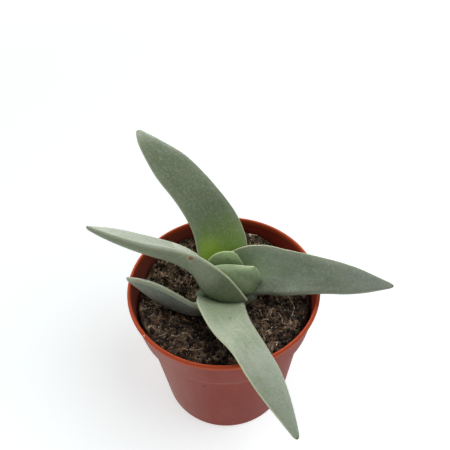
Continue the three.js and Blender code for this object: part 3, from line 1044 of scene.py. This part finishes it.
# First and last place in millimetres, half width and half thickness of each fold
LEAF_FOLDS = {
    "leaf_heart_fold": ((15.6, -5.6, 80.4), (8.6, -12.5, 78.2), 2.3, 1.3),
    "leaf_front_fold": ((-12.6, -6.9, 78.9), (-7.4, -5.3, 80.6), 1.7, 1.2),
    "leaf_base_scale": ((7, -13.2, 79.6), (9.6, -14.2, 80.4), 0.75, 0.4),
}

# Small marks and patches of painted light and shade: centre in millimetres, full and fading radius,
# colour and strength
LEAF_MARKS = {
    "leaf_left": [
        ((-14, -1.9, 99.1), 1.2, 2.4, (176, 178, 150), 0.5),
        ((-14.1, -1.9, 99.1), 0.7, 1.25, (142, 70, 46), 0.95),
        ((-13, -2.1, 98.9), 0.35, 0.8, (152, 84, 58), 0.85),
        # Painted light on the inner face near the right margin, which lies in shade
        ((-15, 14, 87), 7, 11.5, (196, 203, 184), 0.75),
        ((-59, 14.5, 103), 3, 16, (146, 156, 132), 0.5),
        ((-27.5, 2, 92.5), 2, 9, (120, 106, 100), 0.15),
        # Painted light on the inner face near the heart, where it turns from the light
        ((-7.5, -5.5, 94), 3, 10, (176, 184, 160), 0.35),
    ],
    "leaf_front": [
        ((2.6, -24.1, 84.3), 0.3, 0.9, (108, 112, 88), 0.7),
        ((-10.6, -6.6, 79.2), 0.6, 1.6, (206, 208, 172), 0.7),
        ((9, -13.9, 80.3), 0.8, 2.4, (196, 204, 170), 0.5),
        # Painted sheen on the right half
        ((20, -47, 86), 6, 16, (186, 196, 182), 0.25),
        ((25, -67, 79), 5, 18, (176, 186, 168), 0.6),
    ],
    "leaf_back": [
        # The base's own yellow green, with a painted glow of light through the leaf
        ((-6.5, 9.5, 88.5), 1.5, 11.5, (184, 218, 76), 0.7),
        ((-39.6, 60.8, 122.4), 0.5, 1.5, (92, 70, 48), 0.8),
    ],
    "leaf_right": [
        ((70, -8, 84), 6, 24, (149, 156, 143), 0.75),
        ((35, 4, 88), 2, 9, (106, 126, 96), 0.35),
        ((20, 2, 86), 3, 12, (122, 146, 108), 0.4),
        # Painted shade along the lower margin, which turns under
        ((21, -10.5, 82.5), 2, 9, (84, 92, 72), 0.55),
    ],
    "leaf_low_left": [
        ((-41, 0.5, 82), 6, 22, (150, 158, 140), 0.6),
        ((-44.8, 1.7, 82.4), 0.5, 1.3, (110, 74, 48), 0.9),
    ],
    # Painted shade on the low part, deep in the heart
    "leaf_young_front": [((15.5, -6, 83), 1.5, 6, (96, 108, 84), 0.6)],
}

FRESH_GREEN = rgb(84, 116, 64)
# Painted shade on the outer side near the base, where the leaves crowd in the heart
OUTER_BASE_PAINTED_SHADE = rgb(80, 94, 58)
PORE_SHADE = rgb(62, 82, 50)
SPECK_SHADE = rgb(190, 202, 180)
MARGIN_DOT = rgb(172, 120, 98)
TIP_SHADE = rgb(96, 84, 56)
STREAK_STRETCH = 0.12


def leaf_material(name):
    """Velvety skin with clouds, streaks and specks, the marks, painted light and shade, and the
    margin's pale line.
    """
    g = Graph(bpy.data.materials.new(name + "_skin"))
    face, dark, bloom, back, margin, young = (rgb(*c) for c in LEAF_LOOKS[name][1:])
    inner, edge, along = g.attribute("inner"), g.attribute("edge_mm"), g.attribute("along")
    outer = g.math("SUBTRACT", 1.0, inner)
    length = g.times(g.attribute("along_mm"), STREAK_STRETCH)
    streak = g.noise(0.55, g.join(g.attribute("across_mm"), length, 0.0), detail=3)
    cloud = g.noise(70, detail=3)
    patch = g.noise(210, detail=3, rough=0.6, distort=0.5)
    mottle = g.noise(320, detail=4, rough=0.65)
    speckle = g.noise(850, detail=4, rough=0.75, distort=0.3)
    grain = g.noise(1100, detail=3, rough=0.65)
    g.colour = g.mix(g.ramp(cloud, 0.35, 0.68), face, dark)
    g.cover(bloom, g.ramp(streak, 0.45, 0.75), 0.45)
    g.cover(bloom, g.ramp(mottle, 0.5, 0.72), 0.35)
    g.cover(g.mix(0.35, dark, FRESH_GREEN), g.ramp(patch, 0.5, 0.66), 0.45)
    g.cover(back, g.ramp(inner, 0.5, 0.49))
    g.cover(young, g.times(g.ramp(along, 0.42, 0.02), inner), 0.85)
    # Painted shade on the outer side near the base, where the leaves crowd in the heart
    g.cover(OUTER_BASE_PAINTED_SHADE, g.times(g.ramp(along, 0.34, 0.12), outer), 0.5)
    g.cover(g.mix(0.35, bloom, margin), g.times(g.ramp(edge, 4.2, 0.8), inner), 0.4)
    for centre, full, fading, shade, strength in LEAF_MARKS.get(name, []):
        g.cover(rgb(*shade), g.spot(centre, full, fading), strength)
    g.cover(PORE_SHADE, g.ramp(grain, 0.5, 0.34), 0.2)
    g.cover(SPECK_SHADE, g.ramp(speckle, 0.5, 0.68), 0.26)
    dots = g.times(g.ramp(g.cells(330), 0.3, 0.12), 0.5)
    pale_line = g.times(g.ramp(edge, 0.4, 0.12), g.attribute("pale"))
    g.cover(g.mix(dots, margin, MARGIN_DOT), pale_line)
    g.cover(TIP_SHADE, g.ramp(along, 0.985, 1.0))
    return g.finish(g.ramp(mottle, 0.2, 0.8, 0.5, 0.66), {
        "Normal": g.bump(g.times(g.plus(grain, mottle), 0.6), 0.00022, 0.7),
        "Specular IOR Level": 0.35,
        "Subsurface Weight": 0.2,
        "Subsurface Radius": (0.0018, 0.0024, 0.0009),
        "Subsurface Scale": 1.0,
    })


# Dark specks on the pot and the pale fleck on its rim: centre, full and fading radius
POT_SPECKS = [
    ((-10.4, -36.2, 49.2), 0.5, 1.15),
    ((-6.8, -33.7, 21.8), 0.25, 0.6),
    ((-5.3, -33.9, 21.0), 0.35, 0.8),
]
RIM_FLECK = ((-35.3, -27.3, 77.7), 0.2, 0.5)
# The inner wall's radius is WALL_SLOPE times the height plus WALL_START, in metres
WALL_SLOPE = 0.1585
WALL_START = 0.03118
POT_OWN_COLOURS = (rgb(142, 54, 38), rgb(134, 48, 34))
# The plastic with a painted sheen, standing for the pale floor's reflection on the pot's left side
PAINTED_SHEEN_PLASTIC = (rgb(162, 98, 86), rgb(154, 92, 80))
SCUFF_SHADE = rgb(154, 74, 58)
FOOT_SHADE = rgb(104, 44, 34)
INSIDE_SHADE = rgb(140, 44, 30)
# Painted shadow at the shoulder under the collar
COLLAR_PAINTED_SHADOW = rgb(96, 38, 28)
# Painted glow of light shining through the thin wall at the lip
LIP_PAINTED_GLOW = rgb(190, 78, 42)
SPECK_DARK = rgb(52, 30, 26)
FLECK_SHADE = rgb(232, 226, 216)
DUST_SHADE = rgb(44, 26, 20)


def pot_material():
    """Satin plastic, redder inside, with a painted sheen at the left, a painted shadow under the
    collar and a painted glow at the lip.
    """
    g = Graph(bpy.data.materials.new("pot_plastic"))
    x, y, z = g.split(g.place())
    cloud = g.noise(45, detail=3)
    fine = g.noise(900, detail=2)
    scuff = g.noise(160, g.join(x, y, g.times(z, 0.25)), detail=4, rough=0.7)
    clouded = g.ramp(cloud, 0.3, 0.7)
    own_colour, painted_sheen = g.mix(clouded, *POT_OWN_COLOURS), g.mix(clouded, *PAINTED_SHEEN_PLASTIC)
    # Painted sheen on the left side, for the floor's reflection
    g.colour = g.mix(g.ramp(x, -0.006, -0.030), own_colour, painted_sheen)
    g.cover(SCUFF_SHADE, g.ramp(scuff, 0.52, 0.75), 0.25)
    g.cover(FOOT_SHADE, g.ramp(z, 0.006, 0.0), 0.4)
    wall = g.math("SUBTRACT", g.off_axis(), g.math("MULTIPLY_ADD", z, WALL_SLOPE, WALL_START))
    inside = g.times(g.ramp(wall, 0.0008, 0.0003), g.ramp(z, 0.0600, 0.0612))
    g.cover(INSIDE_SHADE, inside, 0.5)
    # Painted shadow at the shoulder under the collar
    g.cover(COLLAR_PAINTED_SHADOW, g.times(g.ramp(z, 0.0556, 0.0585), g.ramp(z, 0.0625, 0.0598)), 0.1)
    # Painted glow of light shining through the thin wall at the lip
    g.cover(LIP_PAINTED_GLOW, g.ramp(z, 0.0750, 0.0764))
    for speck in POT_SPECKS:
        g.cover(SPECK_DARK, g.spot(*speck), 0.75)
    g.cover(FLECK_SHADE, g.spot(*RIM_FLECK))
    dust = g.times(g.ramp(g.cells(420), 0.16, 0.08), g.ramp(g.noise(60, detail=2), 0.5, 0.62))
    g.cover(DUST_SHADE, g.times(dust, inside), 0.8)
    normal = g.bump(g.plus(g.times(fine, 0.3), cloud), 0.0002, 0.35)
    rough = g.ramp(scuff, 0.2, 0.8, 0.5, 0.62)
    return g.finish(rough, {"Normal": normal, "Specular IOR Level": 0.18})


def stem_material():
    """Green stem with brown streaks, browner at the foot."""
    g = Graph(bpy.data.materials.new("stem_skin"))
    x, y, z = g.split(g.place())
    streak = g.noise(700, g.join(x, y, g.times(z, 0.2)), detail=4, rough=0.6)
    cloud = g.noise(180, detail=3)
    g.colour = g.mix(g.ramp(cloud, 0.35, 0.68), rgb(118, 130, 88), rgb(134, 138, 96))
    g.cover(rgb(134, 108, 78), g.ramp(streak, 0.45, 0.75), 0.6)
    g.cover(rgb(104, 82, 60), g.ramp(z, 0.0725, 0.068))
    rough = g.ramp(streak, 0.2, 0.8, 0.6, 0.75)
    return g.finish(rough, {"Normal": g.bump(streak, 0.0003, 0.6), "Specular IOR Level": 0.3})


# Where the soil is paler or darker: centre, full and fading radius, change of tone
SOIL_PATCHES = [
    ((-26.0, 12.0, 70.0), 10.0, 27.0, 0.17),
    ((-30.0, -13.0, 69.0), 6.0, 17.0, 0.08),
    ((-2.0, -32.0, 69.0), 8.0, 22.0, -0.07),
]
# Colours by tone, from dark to pale
PEAT = [
    (0.0, (10, 8, 7)), (0.35, (31, 24, 19)), (0.6, (60, 48, 38)), (0.85, (114, 95, 75)),
    (1.0, (176, 158, 132)),
]
FIBRE = [(0.0, (36, 26, 19)), (0.45, (98, 74, 52)), (0.75, (158, 130, 98)), (1.0, (214, 200, 170))]
BARK = [(0.0, (36, 23, 15)), (0.5, (80, 50, 31)), (0.8, (122, 82, 54)), (1.0, (166, 128, 92))]
GRAIN = [(0.0, (128, 116, 100)), (0.5, (196, 188, 172)), (1.0, (236, 232, 222))]


def soil_material(name, shades, rough):
    """Peat, from the tone that each place or crumb has, 0 dark and 1 pale."""
    g = Graph(bpy.data.materials.new(name))
    fine = g.noise(1500, detail=4, rough=0.7)
    coarse = g.noise(240, detail=3)
    tone = g.plus(g.attribute("tone"), g.times(g.math("SUBTRACT", fine, 0.5), 0.9))
    tone = g.plus(tone, g.times(g.math("SUBTRACT", coarse, 0.5), 0.5))
    for centre, full, fading, change in SOIL_PATCHES:
        tone = g.plus(tone, g.times(g.spot(centre, full, fading), change))
    ramp = g.tree.nodes.new("ShaderNodeValToRGB")
    g.put(ramp.inputs[0], tone)
    stops = ramp.color_ramp.elements
    for stop, (place, shade) in zip(stops, (shades[0], shades[-1])):
        stop.position = place
        stop.color = (*rgb(*shade), 1)
    for place, shade in shades[1:-1]:
        stops.new(place).color = (*rgb(*shade), 1)
    g.colour = ramp.outputs[0]
    return g.finish(rough, {"Normal": g.bump(fine, 0.0004, 0.7), "Specular IOR Level": 0.25})


# The pieces

LEAF_SEED = 100
LEAF_SEED_STEP = 7
FOLD_SEED = 200


def ride(obj, slot, material, *nodes):
    obj.data.materials.append(material)
    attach(obj, "root")
    if nodes:
        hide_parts(*nodes)


def build_leaves():
    """The blades and folds. Returns some of the blades' points, for the soil to keep clear of."""
    kept = []
    for i, (node, rows) in enumerate(LEAF_ROWS.items()):
        points, faces, values = leaf_points(node, rows, LEAF_SEED + LEAF_SEED_STEP * i)
        kept.append(points[::3])
        leaf = make_mesh(node + "_blade", points, faces, values)
        ride(leaf, LEAF_LOOKS[node][0], leaf_material(node), node)
    for i, (name, shape) in enumerate(LEAF_FOLDS.items()):
        ride(leaf_fold(name, *shape, FOLD_SEED + i), LEAF_LOOKS[name][0], leaf_material(name))
    return np.concatenate(kept)


def build_bed(plant_points):
    """The soil and the loose bits on it."""
    tree = KDTree(len(plant_points))
    for i, p in enumerate(plant_points):
        tree.insert(p, i)
    tree.balance()
    peat = soil_material("peat", PEAT, 0.92)
    ride(build_soil(), "soil", peat, "soil")
    ride(scatter(drop_crumb, CRUMB_TRIES, tree, CRUMB_SEED).build("soil_crumbs"), "soil", peat)
    fibres = scatter(drop_fibre, FIBRE_TRIES, tree, FIBRE_SEED)
    lay_strands(fibres)
    ride(fibres.build("soil_fibres"), "soil", soil_material("peat_fibre", FIBRE, 0.75))
    bark = scatter(drop_bark, BARK_TRIES, tree, BARK_SEED)
    ride(bark.build("soil_bark"), "soil", soil_material("peat_bark", BARK, 0.8))
    grains = scatter(drop_grain, GRAIN_TRIES, tree, GRAIN_SEED)
    ride(grains.build("soil_grains"), "soil", soil_material("peat_grain", GRAIN, 0.8))


taken = build_leaves()
ride(build_pot(), "pot_plastic", pot_material(), "pot")
build_bed(taken)
ride(build_stem(), "stem", stem_material(), "stem")


# The photograph's camera

CAMERA_AT = (1.624, -187.255, 308.469)
PITCH = 45.583
ROLL = -1.871
FOCAL_PIXELS = 633.469
FRAME_PIXELS = 450
SENSOR = 36


def place_camera():
    """The camera looks along +Y, tipped down by PITCH and rolled by ROLL degrees."""
    data = bpy.data.cameras.new("photo_camera")
    data.sensor_width = SENSOR
    data.sensor_fit = "HORIZONTAL"
    data.lens = FOCAL_PIXELS / FRAME_PIXELS * SENSOR
    data.clip_start = 0.01
    data.clip_end = 50
    camera = add_object("photo_camera", data)
    place = Matrix.Translation(Vector(CAMERA_AT) * MM)
    tip = Matrix.Rotation(math.radians(90 - PITCH), 4, "X")
    camera.matrix_world = place @ tip @ Matrix.Rotation(math.radians(ROLL), 4, "Z")
    bpy.context.scene.camera = camera


place_camera()


# Floor, light and colour handling, in metres

FLOOR_RADIUS = 6
FLOOR_SIDES = 96
FLOOR_COLOURS = ((0.74, 0.83, 0.85), (0.76, 0.85, 0.87))
# The floor's own glow near the pot and far away, and where it changes
FLOOR_GLOW = (0.57, 1.0)
GLOW_PLACES = (0.3, 1.2)
WORLD_SHOWN = 1.0
WORLD_LIGHT = 0.3
LIGHT_DISTANCE = 1.2
LIGHT_SIZE = 0.8
CENTRE = Vector((0, 0, 0.08))


def build_floor():
    """A white floor that glows whiter far off, so that it shows no horizon."""
    circle = ring(FLOOR_RADIUS / MM, 0, FLOOR_SIDES)
    floor = make_mesh("floor", circle, [range(FLOOR_SIDES)], smooth=False)
    g = Graph(bpy.data.materials.new("floor_white"))
    g.colour = g.mix(g.noise(3), *FLOOR_COLOURS)
    glow = g.ramp(g.off_axis(), *GLOW_PLACES, *FLOOR_GLOW)
    inputs = {"Specular IOR Level": 0.0, "Emission Color": (1, 1, 1), "Emission Strength": glow}
    floor.data.materials.append(g.finish(0.9, inputs))
    return floor


def build_world():
    """White to the camera, and dimmer as a light."""
    bpy.context.scene.world = bpy.data.worlds.new("studio")
    g = Graph(bpy.context.scene.world)
    strengths = (WORLD_LIGHT, WORLD_SHOWN)
    light, shown = (g.node("Background", ((1, 1, 1), strength))[0] for strength in strengths)
    seen = g.node("LightPath")["Is Camera Ray"]
    g.node("OutputWorld", [g.node("MixShader", (seen, light, shown))[0]])


def group_of(name, objects):
    group = bpy.data.collections.new(name)
    for o in objects:
        group.objects.link(o)
    return group


def soft_box(name, azimuth, elevation, strength, shines_on, size=LIGHT_SIZE):
    """A round soft box. Azimuth 0 stands behind the object and 90 to its right.

    Strength 1 makes a white sheet that faces it look white.
    """
    data = bpy.data.lights.new(name, "AREA")
    data.shape = "DISK"
    data.size = size
    data.energy = strength * math.pi**2 * LIGHT_DISTANCE**2
    a, e = math.radians(azimuth), math.radians(elevation)
    toward = Vector((math.cos(e) * math.sin(a), math.cos(e) * math.cos(a), math.sin(e)))
    light = add_object(name, data)
    light.location = CENTRE + toward * LIGHT_DISTANCE
    light.rotation_euler = (-toward).to_track_quat("-Z", "Y").to_euler()
    light.light_linking.receiver_collection = shines_on


floor = build_floor()
floor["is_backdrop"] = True
build_world()
lit_part = group_of("lit_part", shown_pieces())
lit_floor = group_of("lit_floor", [floor])
lit_soil = group_of("lit_soil", [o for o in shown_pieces() if o.name.startswith("soil_")])
soft_box("key_back_left", 315, 40, 0.45, lit_part)
soft_box("key_back_right", 45, 40, 0.25, lit_part)
soft_box("low_back", 0, 15, 0.7, lit_part)
soft_box("top_back", 0, 65, 0.15, lit_part)
soft_box("soil_fill", 112, 58, 0.55, lit_soil)
soft_box("floor_light", 100, 60, 0.5, lit_floor, size=1.1)

view = bpy.context.scene.view_settings
view.view_transform = "Standard"
view.look = "None"
view.exposure = 0
view.gamma = 1
